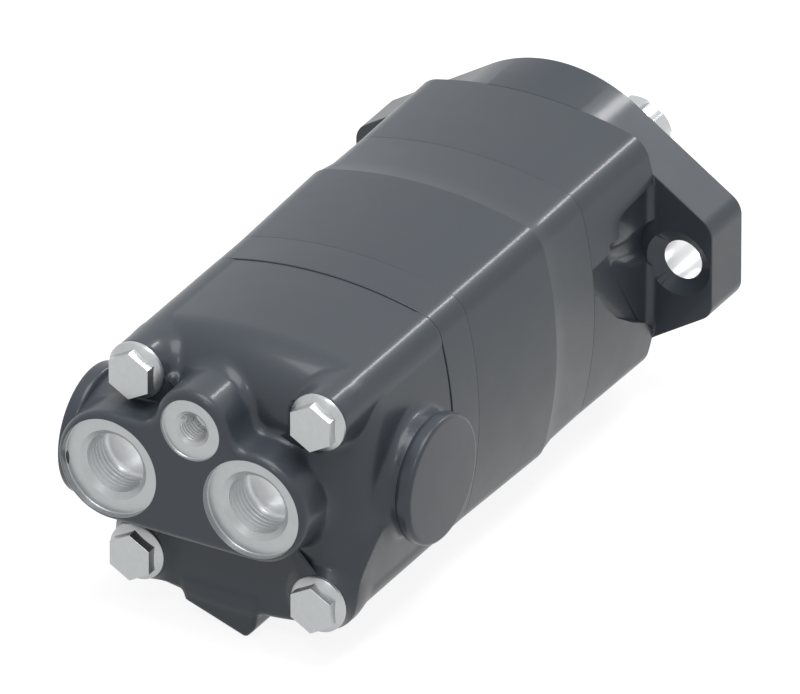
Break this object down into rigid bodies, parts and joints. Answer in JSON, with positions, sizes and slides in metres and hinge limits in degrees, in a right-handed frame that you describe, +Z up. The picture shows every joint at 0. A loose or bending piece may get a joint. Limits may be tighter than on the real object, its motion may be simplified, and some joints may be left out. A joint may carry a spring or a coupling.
{
  "type": "orbital hydraulic motor",
  "caption": "Low-speed orbital hydraulic motor with a two-bolt flange, splined output shaft, geroler gear set, disc valve and rear-facing ports.",
  "frame": {"origin": "shaft axis at the mounting face of the flange, where the pilot meets it", "axes": "+Y along the output shaft, away from the motor; +Z up, with the drain port above the main ports; +X to the right seen from the ports"},
  "size_m": [0.1308, 0.2754, 0.1044],
  "materials": {
    "painted_iron": "dark grey paint over cast iron, satin",
    "plated_bolts": "zinc plated steel, satin",
    "seal_rubber": "matt black nitrile",
    "shaft_steel": "turned and ground steel",
    "bearing_steel": "ground bearing steel",
    "ground_steel": "hardened and ground steel",
    "valve_iron": "lapped grey iron"
  },
  "bodies": {
    "housing": {"bearing_housing": "painted_iron", "wear_plate": "painted_iron", "geroler_ring": "painted_iron", "valve_plate": "painted_iron", "valve_housing": "painted_iron", "tie_bolts": "plated_bolts", "section_seals": "seal_rubber", "dust_seal": "seal_rubber", "shaft_seal": "seal_rubber", "seal_backup_washer": "shaft_steel", "front_bearing_cup": "bearing_steel", "rear_bearing_cup": "bearing_steel", "balance_ring": "valve_iron", "balance_inner_seal": "seal_rubber", "balance_outer_seal": "seal_rubber", "balance_springs": "valve_iron", "balance_pins": "valve_iron"},
    "shaft": {"output_shaft": "shaft_steel", "shaft_lock_ring": "shaft_steel", "bearing_spacer": "shaft_steel", "front_bearing_cone": "bearing_steel", "rear_bearing_cone": "bearing_steel"},
    "front_rollers": {"front_bearing_rollers": "bearing_steel"},
    "rear_rollers": {"rear_bearing_rollers": "bearing_steel"},
    "orbit": {"drive_spacer": "ground_steel"},
    "star": {"star": "ground_steel"},
    "main_drive": {"main_drive": "ground_steel"},
    "valve_drive": {"valve_drive": "ground_steel"},
    "disc_valve": {"disc_valve": "valve_iron"},
    "roller_1": {"roller_1": "ground_steel"},
    "roller_2": {"roller_2": "ground_steel"},
    "roller_3": {"roller_3": "ground_steel"},
    "roller_4": {"roller_4": "ground_steel"},
    "roller_5": {"roller_5": "ground_steel"},
    "roller_6": {"roller_6": "ground_steel"},
    "roller_7": {"roller_7": "ground_steel"}
  },
  "joints": [
    {"name": "shaft_spin", "type": "hinge", "parent": "housing", "child": "shaft", "pos_m": [0, 0, 0], "axis": [0, 1, 0], "continuous": true},
    {"name": "orbit_turn", "type": "hinge", "parent": "housing", "child": "orbit", "pos_m": [0, -0.11258, 0], "axis": [0, 1, 0], "continuous": true},
    {"name": "star_spin", "type": "hinge", "parent": "orbit", "child": "star", "pos_m": [0, -0.10418, 0.003], "axis": [0, 1, 0], "continuous": true},
    {"name": "main_drive_spin", "type": "hinge", "parent": "orbit", "child": "main_drive", "pos_m": [0, -0.048, 0], "axis": [0, 0.9986, -0.0533], "continuous": true},
    {"name": "valve_drive_spin", "type": "hinge", "parent": "orbit", "child": "valve_drive", "pos_m": [0, -0.1629, 0], "axis": [0, 0.9973, 0.0733], "continuous": true},
    {"name": "disc_spin", "type": "hinge", "parent": "housing", "child": "disc_valve", "pos_m": [0, -0.1629, 0], "axis": [0, 1, 0], "continuous": true},
    {"name": "front_cage_turn", "type": "hinge", "parent": "housing", "child": "front_rollers", "pos_m": [0, -0.02, 0], "axis": [0, 1, 0], "continuous": true},
    {"name": "rear_cage_turn", "type": "hinge", "parent": "housing", "child": "rear_rollers", "pos_m": [0, -0.046, 0], "axis": [0, 1, 0], "continuous": true},
    {"name": "roller_1_spin", "type": "hinge", "parent": "housing", "child": "roller_1", "pos_m": [0, -0.11175, 0.0335], "axis": [0, 1, 0], "continuous": true},
    {"name": "roller_2_spin", "type": "hinge", "parent": "housing", "child": "roller_2", "pos_m": [-0.02619, -0.11175, 0.02089], "axis": [0, 1, 0], "continuous": true},
    {"name": "roller_3_spin", "type": "hinge", "parent": "housing", "child": "roller_3", "pos_m": [-0.03266, -0.11175, -0.00745], "axis": [0, 1, 0], "continuous": true},
    {"name": "roller_4_spin", "type": "hinge", "parent": "housing", "child": "roller_4", "pos_m": [-0.01454, -0.11175, -0.03018], "axis": [0, 1, 0], "continuous": true},
    {"name": "roller_5_spin", "type": "hinge", "parent": "housing", "child": "roller_5", "pos_m": [0.01454, -0.11175, -0.03018], "axis": [0, 1, 0], "continuous": true},
    {"name": "roller_6_spin", "type": "hinge", "parent": "housing", "child": "roller_6", "pos_m": [0.03266, -0.11175, -0.00745], "axis": [0, 1, 0], "continuous": true},
    {"name": "roller_7_spin", "type": "hinge", "parent": "housing", "child": "roller_7", "pos_m": [0.02619, -0.11175, 0.02089], "axis": [0, 1, 0], "continuous": true}
  ],
  "couplings": [
    {"joint": "orbit_turn", "follows": "shaft_spin", "ratio": -6},
    {"joint": "star_spin", "follows": "shaft_spin", "ratio": 7},
    {"joint": "main_drive_spin", "follows": "shaft_spin", "ratio": 7},
    {"joint": "valve_drive_spin", "follows": "shaft_spin", "ratio": 7},
    {"joint": "disc_spin", "follows": "shaft_spin", "ratio": 1},
    {"joint": "front_cage_turn", "follows": "shaft_spin", "ratio": 0.432},
    {"joint": "rear_cage_turn", "follows": "shaft_spin", "ratio": 0.4415},
    {"joint": "roller_1_spin", "follows": "shaft_spin", "ratio": -4.6},
    {"joint": "roller_2_spin", "follows": "shaft_spin", "ratio": -4.6},
    {"joint": "roller_3_spin", "follows": "shaft_spin", "ratio": -4.6},
    {"joint": "roller_4_spin", "follows": "shaft_spin", "ratio": -4.6},
    {"joint": "roller_5_spin", "follows": "shaft_spin", "ratio": -4.6},
    {"joint": "roller_6_spin", "follows": "shaft_spin", "ratio": -4.6},
    {"joint": "roller_7_spin", "follows": "shaft_spin", "ratio": -4.6}
  ]
}
